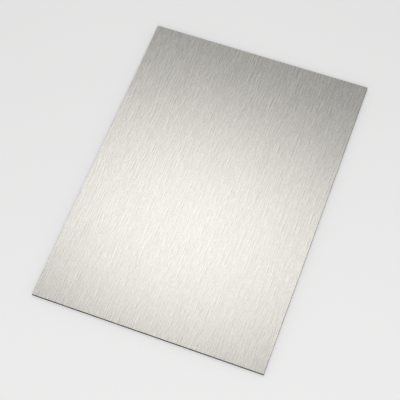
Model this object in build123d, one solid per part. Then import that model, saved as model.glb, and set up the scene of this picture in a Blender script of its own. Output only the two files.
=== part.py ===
from build123d import *
import os

# A flat cut panel of aluminium composite sheet: two thin aluminium skins bonded to a solid plastic core.
# X runs across the brushing, Y along it and Z up, and the origin is the middle of the underside.

# Driving dimensions, in millimetres
panel_width = 210.0  # across the brushing
panel_length = 297.0  # along the brushing
skin_thickness = 0.3  # each of the two skins
core_thickness = 2.4  # the plastic between them
arris_radius = 0.15  # the deburred outer corner of a sawn skin

# The deepest rounding that a skin's own thickness leaves room for
arris_share_of_skin = 0.8


def layer(thickness, underside):
    """A sheet as large as the panel, with its lower face at the given height."""
    blank = Box(
        panel_width,
        panel_length,
        thickness,
        align=(Align.CENTER, Align.CENTER, Align.MIN),
    )
    return Pos(0, 0, underside) * blank


def deburr(skin, outer_face):
    """Rounds the four sawn edges of a skin where they meet its outer face."""
    radius = min(arris_radius, skin_thickness * arris_share_of_skin)
    return fillet(outer_face.edges(), radius)


def back_skin():
    """The plain lower skin, which the panel rests on or is bonded by."""
    skin = layer(skin_thickness, 0)
    return deburr(skin, skin.faces().sort_by(Axis.Z)[0])


def core():
    """The solid plastic core, sawn flush with both skins."""
    return layer(core_thickness, skin_thickness)


def face_skin():
    """The brushed upper skin."""
    skin = layer(skin_thickness, skin_thickness + core_thickness)
    return deburr(skin, skin.faces().sort_by(Axis.Z)[-1])


def main():
    os.makedirs("parts", exist_ok=True)
    pieces = {"back_skin": back_skin(), "core": core(), "face_skin": face_skin()}
    for name, piece in pieces.items():
        export_step(piece, f"parts/{name}.step")


main()
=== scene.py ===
import math

import bpy
from mathutils import Matrix, Vector


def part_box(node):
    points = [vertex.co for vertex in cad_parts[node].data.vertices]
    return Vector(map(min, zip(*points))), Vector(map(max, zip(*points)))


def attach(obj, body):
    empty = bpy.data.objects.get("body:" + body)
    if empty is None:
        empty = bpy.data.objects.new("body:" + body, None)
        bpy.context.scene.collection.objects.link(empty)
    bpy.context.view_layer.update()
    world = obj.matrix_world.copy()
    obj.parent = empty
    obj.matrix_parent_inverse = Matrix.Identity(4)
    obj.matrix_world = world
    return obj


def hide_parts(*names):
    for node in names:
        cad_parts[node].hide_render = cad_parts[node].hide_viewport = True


# A cut panel of aluminium composite sheet, lying face up: brushed skin, black core and plain back skin.
# X runs across the brushing, Y along it and Z up, in metres.

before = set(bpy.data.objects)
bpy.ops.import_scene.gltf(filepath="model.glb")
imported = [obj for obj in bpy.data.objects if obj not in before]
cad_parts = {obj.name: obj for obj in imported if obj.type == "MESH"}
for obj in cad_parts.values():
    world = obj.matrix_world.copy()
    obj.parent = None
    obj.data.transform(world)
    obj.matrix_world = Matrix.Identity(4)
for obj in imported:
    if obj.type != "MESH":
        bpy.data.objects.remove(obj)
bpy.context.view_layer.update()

mm = 0.001
face_low, face_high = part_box("face_skin")
core_low, core_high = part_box("core")

# The UV map that the brushed skin's finish is laid out on
skin_map = "OFBake"

# The grey of both skins where the saw has cut them, dull sawn metal darkened further as painted shade, and
# how strong and deep its marks are there
cut_metal_with_painted_shade = (0.40, 0.397, 0.39)
cut_contrast = 0.2
cut_depth = 0.01 * mm

# Which way the photograph looks, seen from above
view_azimuth = math.radians(22.761)
view_heading = Vector((-math.sin(view_azimuth), math.cos(view_azimuth), 0.0))


def node(tree, kind, values=None, **settings):
    """Adds a node. In values a socket is linked to the input, and anything else is its plain value."""
    made = tree.nodes.new(kind)
    for setting, value in settings.items():
        setattr(made, setting, value)
    for socket, value in (values or {}).items():
        if isinstance(value, bpy.types.NodeSocket):
            tree.links.new(value, made.inputs[socket])
        else:
            made.inputs[socket].default_value = value
    return made


def maths(tree, operation, *terms):
    """The output of one Math node."""
    return node(tree, "ShaderNodeMath", dict(enumerate(terms)), operation=operation).outputs[0]


def ranged(tree, value, low, high, to_low, to_high, smooth=False):
    """A value carried from one range to another and held inside it."""
    ends = {"Value": value, "From Min": low, "From Max": high, "To Min": to_low, "To Max": to_high}
    kind = "SMOOTHSTEP" if smooth else "LINEAR"
    return node(tree, "ShaderNodeMapRange", ends, interpolation_type=kind).outputs["Result"]


def mixed(tree, share, first, second):
    """A value between two others."""
    values = {"Factor": share, "A": first, "B": second}
    return node(tree, "ShaderNodeMix", values, data_type="FLOAT").outputs["Result"]


def mixed_colour(tree, share, first, second):
    """A colour between two others. The Mix node has its colours in sockets 6 and 7, and the result in 2."""
    values = {"Factor": share, 6: first, 7: second}
    return node(tree, "ShaderNodeMix", values, data_type="RGBA").outputs[2]


def centred(tree, noise, reach):
    """Noise about 0.5 carried to run from -1 to 1, where it strays from 0.5 by its reach."""
    return ranged(tree, noise, 0.5 - reach, 0.5 + reach, -1.0, 1.0)


def split(tree, vector):
    """The X, Y and Z of a vector."""
    return node(tree, "ShaderNodeSeparateXYZ", {0: vector}).outputs


def joined(tree, x, y, z=0.0):
    """A vector from its X, Y and Z."""
    return node(tree, "ShaderNodeCombineXYZ", {"X": x, "Y": y, "Z": z}).outputs[0]


def new_group(kind, name, inputs, outputs):
    """A node group with named sockets, and the sockets of its input and output nodes."""
    tree = bpy.data.node_groups.new(name, kind)
    for socket, sort, value in inputs:
        made = tree.interface.new_socket(socket, in_out="INPUT", socket_type="NodeSocket" + sort)
        if value is not None:
            made.default_value = value
    for socket, sort in outputs:
        tree.interface.new_socket(socket, in_out="OUTPUT", socket_type="NodeSocket" + sort)
    return tree, tree.nodes.new("NodeGroupInput").outputs, tree.nodes.new("NodeGroupOutput").inputs


def use_group(tree, group, values):
    """Places a shader node group in a tree and returns its outputs."""
    return node(tree, "ShaderNodeGroup", values, node_tree=group).outputs


def stroke_layer_group():
    """Straight strokes along Y in columns. Each has its own start, strength and taper."""
    tree, given, result = new_group(
        "ShaderNodeTree",
        "stroke_layer",
        [
            ("Position", "Vector", None),
            ("Width", "Float", 0.3 * mm),
            ("Length", "Float", 10 * mm),
            ("Turn", "Float", 0.0),
            ("Seed", "Float", 0.0),
        ],
        [("Depth", "Float"), ("Flank", "Float")],
    )
    turned = node(
        tree,
        "ShaderNodeVectorRotate",
        {"Vector": given["Position"], "Angle": given["Turn"]},
        rotation_type="Z_AXIS",
    ).outputs[0]
    place = split(tree, turned)
    across = maths(tree, "DIVIDE", place["X"], given["Width"])
    column = maths(tree, "ADD", maths(tree, "FLOOR", across), given["Seed"])
    start = node(tree, "ShaderNodeTexWhiteNoise", {"W": column}, noise_dimensions="1D").outputs["Value"]
    along = maths(tree, "ADD", maths(tree, "DIVIDE", place["Y"], given["Length"]), start)
    stroke = joined(tree, column, maths(tree, "FLOOR", along))
    chance = node(tree, "ShaderNodeTexWhiteNoise", {"Vector": stroke}, noise_dimensions="2D")
    # A few strokes stand out bright among many that are a little darker, with a mean of 0
    steepness, spread = 3.0, 2.0
    boldness = maths(tree, "POWER", chance.outputs["Value"], steepness)
    strength = maths(tree, "MULTIPLY_ADD", boldness, spread, -spread / (steepness + 1.0))
    # Each stroke fades towards its ends
    run = maths(tree, "SINE", maths(tree, "MULTIPLY", maths(tree, "FRACT", along), math.pi))
    fading = maths(tree, "MULTIPLY", strength, run)
    share = maths(tree, "FRACT", across)
    crest = maths(tree, "SINE", maths(tree, "MULTIPLY", share, math.pi))
    # The flank is painted light and shade: one side of each groove lighter, the other darker
    flank = maths(tree, "SINE", maths(tree, "MULTIPLY", share, 2 * math.pi))
    tree.links.new(maths(tree, "MULTIPLY", fading, crest), result["Depth"])
    tree.links.new(maths(tree, "MULTIPLY", fading, flank), result["Flank"])
    return tree


def brushing_group(stroke_layer):
    """Linear brushing: layers of strokes, from flecks and hairlines to broad passes, a little off line.

    The tone is painted light and shade from the strokes' lit and shaded flanks, with some of their depth."""
    layers = [
        # width, length, turn in degrees, share of depth, share of flank
        (0.50 * mm, 1.5 * mm, 0.0, 1.5, 0.0),
        (0.09 * mm, 6.3 * mm, -0.7, 0.7, 0.0),
        (0.17 * mm, 21.0 * mm, 0.2, 0.9, 0.0),
        (0.29 * mm, 4.1 * mm, 1.6, 0.8, 0.0),
        (0.44 * mm, 7.3 * mm, -1.9, 0.9, 0.0),
        (0.67 * mm, 12.0 * mm, 0.8, 0.8, 0.3),
        (1.33 * mm, 9.0 * mm, -0.9, 0.0, 1.2),
        (2.10 * mm, 17.0 * mm, 0.5, 0.0, 1.0),
        (2.90 * mm, 45.0 * mm, -0.3, 0.1, 0.1),
    ]
    tree, given, result = new_group(
        "ShaderNodeTree",
        "linear_brushing",
        [("Position", "Vector", None), ("Scale", "Float", 1.0)],
        [("Tone", "Float"), ("Height", "Float")],
    )
    # Only the narrow strokes are grooves with a depth of their own
    widest_groove = 0.4 * mm
    # Keeps the layers' columns apart in the noise
    seed_step = 37.0
    tone = 0.0
    height = 0.0
    for number, (width, length, turn, depth_share, flank_share) in enumerate(layers):
        strokes = use_group(
            tree,
            stroke_layer,
            {
                "Position": given["Position"],
                "Width": maths(tree, "MULTIPLY", given["Scale"], width),
                "Length": maths(tree, "MULTIPLY", given["Scale"], length),
                "Turn": math.radians(turn),
                "Seed": seed_step * number,
            },
        )
        if width < widest_groove:
            height = maths(tree, "MULTIPLY_ADD", strokes["Depth"], depth_share, height)
        tone = maths(tree, "MULTIPLY_ADD", strokes["Depth"], depth_share, tone)
        if flank_share:
            tone = maths(tree, "MULTIPLY_ADD", strokes["Flank"], flank_share, tone)
    tree.links.new(tone, result["Tone"])
    tree.links.new(height, result["Height"])
    return tree


def cloud_group():
    """Slow unevenness over a surface, from -1 to 1."""
    tree, given, result = new_group(
        "ShaderNodeTree",
        "soft_clouds",
        [("Position", "Vector", None), ("Size", "Float", 50 * mm), ("Stretch", "Float", 1.0)],
        [("Cloud", "Float")],
    )
    place = split(tree, given["Position"])
    shortened = maths(tree, "DIVIDE", place["Y"], given["Stretch"])
    drawn_out = joined(tree, place["X"], shortened, place["Z"])
    scale = maths(tree, "DIVIDE", 1.0, given["Size"])
    values = {"Vector": drawn_out, "Scale": scale, "Detail": 3.0, "Roughness": 0.5}
    noise = node(tree, "ShaderNodeTexNoise", values).outputs[0]
    tree.links.new(centred(tree, noise, 0.2), result["Cloud"])
    return tree


def saw_marks_group():
    """The marks of a fine saw on an upright edge, slanting a little, at the pitch of its teeth."""
    tree, given, result = new_group(
        "ShaderNodeTree",
        "saw_marks",
        [("Pitch", "Float", 0.4 * mm), ("Slant", "Float", 0.25)],
        [("Marks", "Float")],
    )
    coordinates = node(tree, "ShaderNodeTexCoord").outputs
    place = split(tree, coordinates["Object"])
    facing = split(tree, coordinates["Normal"])
    # The distance along whichever edge the surface belongs to
    on_long_edge = maths(tree, "MULTIPLY", maths(tree, "ABSOLUTE", facing["X"]), place["Y"])
    on_short_edge = maths(tree, "MULTIPLY", maths(tree, "ABSOLUTE", facing["Y"]), place["X"])
    along = maths(tree, "ADD", on_long_edge, on_short_edge)
    slanted = maths(tree, "MULTIPLY_ADD", place["Z"], given["Slant"], along)
    tooth = maths(tree, "DIVIDE", slanted, given["Pitch"])
    values = {"W": tooth, "Scale": 1.0, "Detail": 3.0, "Roughness": 0.6}
    noise = node(tree, "ShaderNodeTexNoise", values, noise_dimensions="1D").outputs[0]
    tree.links.new(centred(tree, noise, 0.25), result["Marks"])
    return tree


def new_material(name):
    """A material with a Principled shader, and its tree and the shader's inputs."""
    material = bpy.data.materials.new(name)
    material.use_nodes = True
    tree = material.node_tree
    return material, tree, tree.nodes["Principled BSDF"].inputs


def toned(tree, colour, tone, amount):
    """A colour made lighter by a tone above 0 and darker by one below it."""
    gain = maths(tree, "MULTIPLY_ADD", tone, amount, 1.0)
    return node(tree, "ShaderNodeVectorMath", {0: colour, "Scale": gain}, operation="SCALE").outputs[0]


def bumped(tree, height, distance):
    """The normal that a height gives, where a height of 1 stands for that distance in metres."""
    values = {"Height": height, "Strength": 1.0, "Distance": distance}
    return node(tree, "ShaderNodeBump", values).outputs[0]


def brushed_aluminium(brushing, clouds):
    """The face: warm silver, brushed along Y, so that a light is drawn out across the grain."""
    material, tree, shader = new_material("brushed_aluminium_face")
    silver, contrast = (0.826, 0.812, 0.764), 0.136
    roughness, roughness_swing = 0.3915, 0.016
    cloud_size, cloud_stretch, cloud_share = 16 * mm, 4.0, 0.05
    groove_depth = 0.004 * mm

    place = node(tree, "ShaderNodeTexCoord").outputs["Object"]
    brushed = use_group(tree, brushing, {"Position": place})
    cloud_inputs = {"Position": place, "Size": cloud_size, "Stretch": cloud_stretch}
    cloud = use_group(tree, clouds, cloud_inputs)["Cloud"]
    # The brushing's tone includes painted light and shade on the strokes' flanks
    tone = maths(tree, "MULTIPLY_ADD", cloud, cloud_share, brushed["Tone"])
    rough = maths(tree, "MULTIPLY_ADD", brushed["Tone"], roughness_swing, roughness)
    across_the_grain = node(tree, "ShaderNodeTangent", direction_type="UV_MAP", uv_map=skin_map)
    tree.links.new(toned(tree, silver, tone, contrast), shader["Base Color"])
    tree.links.new(rough, shader["Roughness"])
    tree.links.new(bumped(tree, brushed["Height"], groove_depth), shader["Normal"])
    tree.links.new(across_the_grain.outputs[0], shader["Tangent"])
    shader["Metallic"].default_value = 1.0
    shader["Anisotropic"].default_value = 0.593
    # The clear matt lacquer over the brushing
    shader["Coat Weight"].default_value = 0.25
    shader["Coat Roughness"].default_value = 0.4
    return material


def sawn_aluminium(saw_marks):
    """A skin's cut edge: dull grey bare metal, darkened further as painted shade, with the saw's marks."""
    material, tree, shader = new_material("sawn_aluminium_edge")
    roughness, roughness_swing = 0.42, 0.06
    marks = use_group(tree, saw_marks, {})["Marks"]
    # The edge's grey is painted shade on top of dull sawn metal
    tree.links.new(toned(tree, cut_metal_with_painted_shade, marks, cut_contrast), shader["Base Color"])
    tree.links.new(maths(tree, "MULTIPLY_ADD", marks, roughness_swing, roughness), shader["Roughness"])
    tree.links.new(bumped(tree, marks, cut_depth), shader["Normal"])
    shader["Metallic"].default_value = 1.0
    return material


def sawn_core(saw_marks, clouds):
    """The black plastic core: matt, finely marked by the saw, with traces of metal dragged off the skins."""
    material, tree, shader = new_material("black_sawn_core")
    black, contrast = (0.020, 0.020, 0.022), 0.2
    dragged_metal, strongest_trace = (0.30, 0.30, 0.29, 1.0), 0.45
    roughness, roughness_swing = 0.68, 0.08
    saw_pitch, saw_depth = 0.55 * mm, 0.02 * mm
    cloud_size = 9 * mm

    place = node(tree, "ShaderNodeTexCoord").outputs["Object"]
    marks = use_group(tree, saw_marks, {"Pitch": saw_pitch})["Marks"]
    cloud = use_group(tree, clouds, {"Position": place, "Size": cloud_size})["Cloud"]
    height = split(tree, place)["Z"]
    from_below = maths(tree, "SUBTRACT", height, core_low.z)
    from_above = maths(tree, "SUBTRACT", core_high.z, height)
    from_skin = maths(tree, "MINIMUM", from_below, from_above)
    # The smears end at their own distances from the skin, and most of the edge has none
    longest_smear, smear_end = 0.20 * mm, 0.07 * mm
    first_smears, full_smears = 0.1, 1.5
    roughly = maths(tree, "ADD", marks, cloud)
    smear = ranged(tree, roughly, first_smears, full_smears, 0.0, longest_smear)
    left_over = maths(tree, "SUBTRACT", smear, from_skin)
    trace = ranged(tree, left_over, 0.0, smear_end, 0.0, strongest_trace)
    sawn_black = toned(tree, black, roughly, contrast)
    tree.links.new(mixed_colour(tree, trace, sawn_black, dragged_metal), shader["Base Color"])
    tree.links.new(maths(tree, "MULTIPLY_ADD", marks, roughness_swing, roughness), shader["Roughness"])
    tree.links.new(bumped(tree, marks, saw_depth), shader["Normal"])
    shader["Specular IOR Level"].default_value = 0.25
    return material


def rolled_back(saw_marks, brushing, clouds):
    """The back skin: plain rolled metal under a thin clear wash coat, with cut edges."""
    material, tree, shader = new_material("rolled_aluminium_back")
    mill_metal, contrast = (0.66, 0.67, 0.68), 0.05
    roughness, roughness_swing = 0.42, 0.04
    line_scale, line_share, line_depth_share = 4.0, 0.6, 0.4
    cloud_size, cloud_stretch = 60 * mm, 2.0

    # The cut edge ends and the rolled face begins part of the way round the arris
    edge_ends, face_begins = 0.6, 0.8
    coordinates = node(tree, "ShaderNodeTexCoord").outputs
    place = coordinates["Object"]
    levelness = maths(tree, "ABSOLUTE", split(tree, coordinates["Normal"])["Z"])
    flat = ranged(tree, levelness, edge_ends, face_begins, 0.0, 1.0)

    marks = use_group(tree, saw_marks, {})["Marks"]
    lines = use_group(tree, brushing, {"Position": place, "Scale": line_scale})
    cloud_inputs = {"Position": place, "Size": cloud_size, "Stretch": cloud_stretch}
    cloud = use_group(tree, clouds, cloud_inputs)["Cloud"]
    # The rolling lines' tone includes the brushing's painted light and shade on the strokes' flanks
    rolled = maths(tree, "MULTIPLY_ADD", lines["Tone"], line_share, cloud)
    # The back skin's cut edges take the same grey, partly painted shade
    edge_colour = toned(tree, cut_metal_with_painted_shade, marks, cut_contrast)
    back_colour = toned(tree, mill_metal, rolled, contrast)
    tree.links.new(mixed_colour(tree, flat, edge_colour, back_colour), shader["Base Color"])
    tone = mixed(tree, flat, marks, rolled)
    tree.links.new(maths(tree, "MULTIPLY_ADD", tone, roughness_swing, roughness), shader["Roughness"])
    line_relief = maths(tree, "MULTIPLY", lines["Height"], line_depth_share)
    relief = mixed(tree, flat, marks, line_relief)
    tree.links.new(bumped(tree, relief, cut_depth), shader["Normal"])
    shader["Metallic"].default_value = 1.0
    # The clear wash coat
    shader["Coat Weight"].default_value = 0.3
    shader["Coat Roughness"].default_value = 0.25
    return material


def map_skin(tree, geometry, size, level):
    """Stores the skin's own map. The brushed face takes most of it, and its width runs along U.

    The four sides are strips below it, each with a band for every ring."""
    margin = 0.006
    side_pitch = 0.018
    ring_pitch = 0.003
    underside_start, underside_end = 0.09, 0.12
    face_start, face_end = 0.13, 1.0 - margin

    place = split(tree, node(tree, "GeometryNodeInputPosition").outputs[0])
    extent = split(tree, size)
    across = maths(tree, "ADD", maths(tree, "DIVIDE", place["X"], extent["X"]), 0.5)
    lengthwise = maths(tree, "ADD", maths(tree, "DIVIDE", place["Y"], extent["Y"]), 0.5)
    facing = split(tree, node(tree, "GeometryNodeInputNormal").outputs["True Normal"])

    level_face = maths(tree, "ABSOLUTE", facing["Z"])
    on_short_edge = maths(tree, "ABSOLUTE", facing["Y"])
    run = mixed(tree, on_short_edge, lengthwise, across)
    u = mixed(tree, level_face, run, across)

    # The sides are numbered 0 to 3: right, left, far and near
    towards = maths(tree, "ADD", facing["X"], facing["Y"])
    second_of_pair = maths(tree, "MULTIPLY_ADD", towards, -0.5, 0.5)
    side = maths(tree, "MULTIPLY_ADD", on_short_edge, 2.0, second_of_pair)
    strip = maths(tree, "MULTIPLY_ADD", side, side_pitch, margin)
    on_side = maths(tree, "MULTIPLY_ADD", level, ring_pitch, strip)
    on_face = ranged(tree, lengthwise, 0.0, 1.0, face_start, face_end)
    on_underside = ranged(tree, lengthwise, 0.0, 1.0, underside_start, underside_end)
    upwards = maths(tree, "MULTIPLY_ADD", facing["Z"], 0.5, 0.5)
    v = mixed(tree, level_face, on_side, mixed(tree, upwards, on_underside, on_face))

    spot = joined(tree, ranged(tree, u, 0.0, 1.0, margin, 1.0 - margin), v)
    return node(
        tree,
        "GeometryNodeStoreNamedAttribute",
        {"Geometry": geometry, "Name": skin_map, "Value": spot},
        data_type="FLOAT2",
        domain="CORNER",
    ).outputs[0]


def deburred_skin_tree():
    """Geometry Nodes for a cut skin that fills a box. Its sides are rings, drawn in round the arris.

    A hand tool leaves the arris a little uneven along the edge."""
    tree, given, result = new_group(
        "GeometryNodeTree",
        "deburred_skin",
        [
            ("Low Corner", "Vector", None),
            ("High Corner", "Vector", None),
            ("Arris", "Float", None),
            ("Arris Steps", "Int", None),
            ("Unevenness", "Float", None),
            ("Unevenness Length", "Float", None),
            ("Seed", "Float", None),
            ("Spacing", "Float", None),
            ("Face Finish", "Material", None),
            ("Edge Finish", "Material", None),
        ],
        [("Geometry", "Geometry")],
    )
    low, high = given["Low Corner"], given["High Corner"]
    size = node(tree, "ShaderNodeVectorMath", {0: high, 1: low}, operation="SUBTRACT").outputs[0]
    total = node(tree, "ShaderNodeVectorMath", {0: high, 1: low}, operation="ADD").outputs[0]
    halved = node(tree, "ShaderNodeVectorMath", {0: total, "Scale": 0.5}, operation="SCALE").outputs[0]
    middle = split(tree, halved)
    extent = split(tree, size)
    steps = given["Arris Steps"]

    def stations(length):
        spaces = maths(tree, "ROUND", maths(tree, "DIVIDE", length, given["Spacing"]))
        return maths(tree, "ADD", spaces, 1.0)

    box = node(
        tree,
        "GeometryNodeMeshCube",
        {
            "Size": size,
            "Vertices X": stations(extent["X"]),
            "Vertices Y": stations(extent["Y"]),
            "Vertices Z": maths(tree, "ADD", steps, 2.0),
        },
    ).outputs["Mesh"]

    # Level 0 is the underside, 1 the foot of the arris and the last one the brushed face
    place = split(tree, node(tree, "GeometryNodeInputPosition").outputs[0])
    rise = maths(tree, "ADD", maths(tree, "DIVIDE", place["Z"], extent["Z"]), 0.5)
    level = maths(tree, "ROUND", maths(tree, "MULTIPLY", rise, maths(tree, "ADD", steps, 1.0)))
    mapped = map_skin(tree, box, size, level)

    spot = joined(tree, place["X"], place["Y"])
    scale = maths(tree, "DIVIDE", 1.0, given["Unevenness Length"])
    values = {"Vector": spot, "W": given["Seed"], "Scale": scale, "Detail": 2.0}
    noise = node(tree, "ShaderNodeTexNoise", values, noise_dimensions="4D").outputs[0]
    uneven = maths(tree, "MULTIPLY", centred(tree, noise, 0.2), given["Unevenness"])
    radius = maths(tree, "MULTIPLY", given["Arris"], maths(tree, "ADD", uneven, 1.0))

    past_foot = maths(tree, "MAXIMUM", maths(tree, "SUBTRACT", level, 1.0), 0.0)
    turn = maths(tree, "MULTIPLY", maths(tree, "DIVIDE", past_foot, steps), math.pi / 2)
    inset = maths(tree, "MULTIPLY", radius, maths(tree, "SUBTRACT", 1.0, maths(tree, "COSINE", turn)))
    drop = maths(tree, "MULTIPLY", radius, maths(tree, "SUBTRACT", 1.0, maths(tree, "SINE", turn)))

    def drawn_in(distance, length, centre):
        reach = maths(tree, "SUBTRACT", maths(tree, "MULTIPLY", length, 0.5), inset)
        ends = {"Value": distance, "Min": maths(tree, "MULTIPLY", reach, -1.0), "Max": reach}
        return maths(tree, "ADD", node(tree, "ShaderNodeClamp", ends).outputs[0], centre)

    above_underside = maths(tree, "MINIMUM", level, 1.0)
    height = maths(tree, "MULTIPLY", above_underside, maths(tree, "SUBTRACT", extent["Z"], drop))
    shaped_spot = joined(
        tree,
        drawn_in(place["X"], extent["X"], middle["X"]),
        drawn_in(place["Y"], extent["Y"], middle["Y"]),
        maths(tree, "ADD", split(tree, low)["Z"], height),
    )
    moved = {"Geometry": mapped, "Position": shaped_spot}
    shaped = node(tree, "GeometryNodeSetPosition", moved).outputs[0]

    # The face looks straight up, and the arris slopes between it and the sides
    upwards = split(tree, node(tree, "GeometryNodeInputNormal").outputs["True Normal"])["Z"]
    straight_up = 0.999
    on_face = maths(tree, "GREATER_THAN", upwards, straight_up)
    sloping = maths(tree, "COMPARE", upwards, 0.5, straight_up - 0.5)
    rounded = node(
        tree,
        "GeometryNodeSetShadeSmooth",
        {"Geometry": shaped, "Selection": sloping, "Shade Smooth": True},
        domain="FACE",
    ).outputs[0]
    real = node(tree, "GeometryNodeRealizeInstances", {"Geometry": rounded}).outputs[0]
    edges = {"Geometry": real, "Material": given["Edge Finish"]}
    edged = node(tree, "GeometryNodeSetMaterial", edges).outputs[0]
    face = {"Geometry": edged, "Selection": on_face, "Material": given["Face Finish"]}
    faced = node(tree, "GeometryNodeSetMaterial", face).outputs[0]
    tree.links.new(faced, result["Geometry"])
    return tree


def arris_of(node_name):
    """How far the flat top of a CAD skin is drawn in from its outline."""
    low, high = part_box(node_name)
    tolerance = 0.001 * mm
    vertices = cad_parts[node_name].data.vertices
    flat_top = [vertex.co.x for vertex in vertices if vertex.co.z > high.z - tolerance]
    return high.x - max(flat_top)


def shaped_by(tree, name, sizes):
    """A plain mesh piece, made by a Geometry Nodes tree with the given inputs."""
    start = bpy.data.objects.new(name + "_start", bpy.data.meshes.new(name + "_start"))
    bpy.context.scene.collection.objects.link(start)
    modifier = start.modifiers.new("shape", "NODES")
    modifier.node_group = tree
    for socket in tree.interface.items_tree:
        if socket.item_type == "SOCKET" and socket.in_out == "INPUT":
            modifier[socket.identifier] = sizes[socket.name]
    depsgraph = bpy.context.evaluated_depsgraph_get()
    mesh = bpy.data.meshes.new_from_object(start.evaluated_get(depsgraph), depsgraph=depsgraph)
    mesh.name = name
    # The box that the tree starts from leaves an empty slot before the finishes
    while None in list(mesh.materials):
        mesh.materials.pop(index=list(mesh.materials).index(None))
    bpy.data.objects.remove(start)
    piece = bpy.data.objects.new(name, mesh)
    bpy.context.scene.collection.objects.link(piece)
    return piece


def brushed_skin(face_finish, edge_finish):
    """The brushed skin. It stands for the CAD one, whose mesh has no map for the grain to follow."""
    piece = shaped_by(
        deburred_skin_tree(),
        "brushed_face_skin",
        {
            "Low Corner": face_low,
            "High Corner": face_high,
            "Arris": arris_of("face_skin"),
            "Arris Steps": 4,
            "Unevenness": 0.25,
            "Unevenness Length": 12 * mm,
            "Seed": 7.0,
            "Spacing": 3 * mm,
            "Face Finish": face_finish,
            "Edge Finish": edge_finish,
        },
    )
    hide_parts("face_skin")
    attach(piece, "root")


def finish(node_name, material):
    """Gives a CAD node its finish."""
    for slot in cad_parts[node_name].material_slots:
        slot.material = material


def floor(horizon):
    """A plain pale sheet under the panel, just clear of its underside, running out to the horizon.

    It shows a little paler than the lamps alone light it, so that they stay low on the metal."""
    reach = 12.0
    gap = 0.02 * mm
    near_glow, far_glow, horizon_glow = 0.46, 0.36, horizon - 0.255
    near_edge, far_edge = -0.25, 0.30
    surround, outskirts = 0.25, 1.1
    data = bpy.data.meshes.new("floor")
    corners = [(x * reach, y * reach, -gap) for x, y in ((-1, -1), (1, -1), (1, 1), (-1, 1))]
    data.from_pydata(corners, [], [(0, 1, 2, 3)])
    material, tree, shader = new_material("pale_floor")
    shader["Base Color"].default_value = (0.80, 0.80, 0.80, 1.0)
    shader["Roughness"].default_value = 0.9
    shader["Specular IOR Level"].default_value = 0.1
    place = node(tree, "ShaderNodeTexCoord").outputs["Object"]
    heading = {0: place, 1: view_heading}
    ahead = node(tree, "ShaderNodeVectorMath", heading, operation="DOT_PRODUCT").outputs[1]
    away = node(tree, "ShaderNodeVectorMath", {0: place}, operation="LENGTH").outputs[1]
    graded = ranged(tree, ahead, near_edge, far_edge, near_glow, far_glow, smooth=True)
    distant = ranged(tree, away, surround, outskirts, 0.0, 1.0, smooth=True)
    glow = mixed(tree, distant, graded, horizon_glow)
    rays = node(tree, "ShaderNodeLightPath").outputs
    direct = maths(tree, "MAXIMUM", rays["Is Camera Ray"], rays["Is Glossy Ray"])
    seen = maths(tree, "MAXIMUM", direct, rays["Is Transmission Ray"])
    shader["Emission Color"].default_value = (1.0, 1.0, 1.0, 1.0)
    tree.links.new(maths(tree, "MULTIPLY", glow, seen), shader["Emission Strength"])
    data.materials.append(material)
    sheet = bpy.data.objects.new("floor", data)
    bpy.context.scene.collection.objects.link(sheet)


def studio(horizon, overhead):
    """A pale room: brighter at the horizon than overhead."""
    # The sine of the elevation from which up the room is as dim as overhead
    dim_from = 0.7
    world = bpy.data.worlds.new("pale_studio")
    world.use_nodes = True
    tree = world.node_tree
    direction = node(tree, "ShaderNodeTexCoord").outputs["Generated"]
    height = split(tree, direction)["Z"]
    level = ranged(tree, height, 0.0, dim_from, horizon, overhead, smooth=True)
    background = tree.nodes["Background"]
    background.inputs["Color"].default_value = (1.0, 1.0, 1.0, 1.0)
    tree.links.new(level, background.inputs["Strength"])
    bpy.context.scene.world = world


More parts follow.
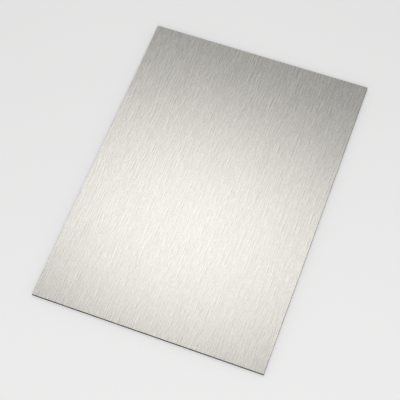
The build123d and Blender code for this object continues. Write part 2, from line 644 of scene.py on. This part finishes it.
def softbox(name, place, aim, size, level, colour):
    """A wide oval lamp that faces a point. Its level is how bright its face is, where 1 is white."""
    data = bpy.data.lights.new(name, "AREA")
    data.shape = "ELLIPSE"
    data.size, data.size_y = size
    lit_area = math.pi / 4 * size[0] * size[1]
    data.energy = level * math.pi * lit_area
    data.color = colour
    lamp = bpy.data.objects.new(name, data)
    lamp.location = place
    lamp.rotation_mode = "QUATERNION"
    lamp.rotation_quaternion = (Vector(aim) - Vector(place)).to_track_quat("-Z", "Y")
    lamp.visible_camera = False
    bpy.context.scene.collection.objects.link(lamp)


def lamps():
    """The key light hangs over the far left, where the camera sees its reflection in the face.

    A dimmer one in front lights the near edge."""
    white = (1.0, 1.0, 1.0)
    warm_white = (1.0, 0.985, 0.975)
    key_place, below_key = (-0.151, 0.3095, 0.829), (-0.151, 0.3095, 0.0)
    key_size, key_level = (0.548, 0.476), 1.984
    softbox("key_softbox", key_place, below_key, key_size, key_level, warm_white)
    front_place, panel_middle = (0.45, -1.05, 0.85), (0.0, 0.0, 0.0)
    front_size, front_level = (1.0, 0.68), 1.5
    softbox("front_softbox", front_place, panel_middle, front_size, front_level, white)


def camera():
    """Looks down on the panel from the near right, tilted a little, with a long lens."""
    elevation = math.radians(62.902)
    roll = math.radians(-2.606)
    distance = 1.0393
    aim = Vector((-1.0 * mm, -14.8 * mm, face_high.z))
    focal_length, film_width = 105.147, 36.0
    back = Vector((0.0, 0.0, math.sin(elevation))) - view_heading * math.cos(elevation)
    level_right = Vector((view_heading.y, -view_heading.x, 0.0))
    level_up = back.cross(level_right)
    right = level_right * math.cos(roll) + level_up * math.sin(roll)
    up = level_up * math.cos(roll) - level_right * math.sin(roll)
    data = bpy.data.cameras.new("photograph_view")
    data.lens = focal_length
    data.sensor_width = film_width
    viewer = bpy.data.objects.new("photograph_view", data)
    turn = Matrix((right, up, back)).transposed().to_4x4()
    viewer.matrix_world = Matrix.Translation(aim + back * distance) @ turn
    bpy.context.scene.collection.objects.link(viewer)
    bpy.context.scene.camera = viewer


camera()

brushing = brushing_group(stroke_layer_group())
clouds = cloud_group()
saw_marks = saw_marks_group()

brushed_skin(brushed_aluminium(brushing, clouds), sawn_aluminium(saw_marks))
finish("core", sawn_core(saw_marks, clouds))
finish("back_skin", rolled_back(saw_marks, brushing, clouds))

horizon_level, overhead_level = 0.788, 0.2155
floor(horizon_level)
studio(horizon_level, overhead_level)
lamps()
bpy.context.scene.view_settings.view_transform = "Standard"
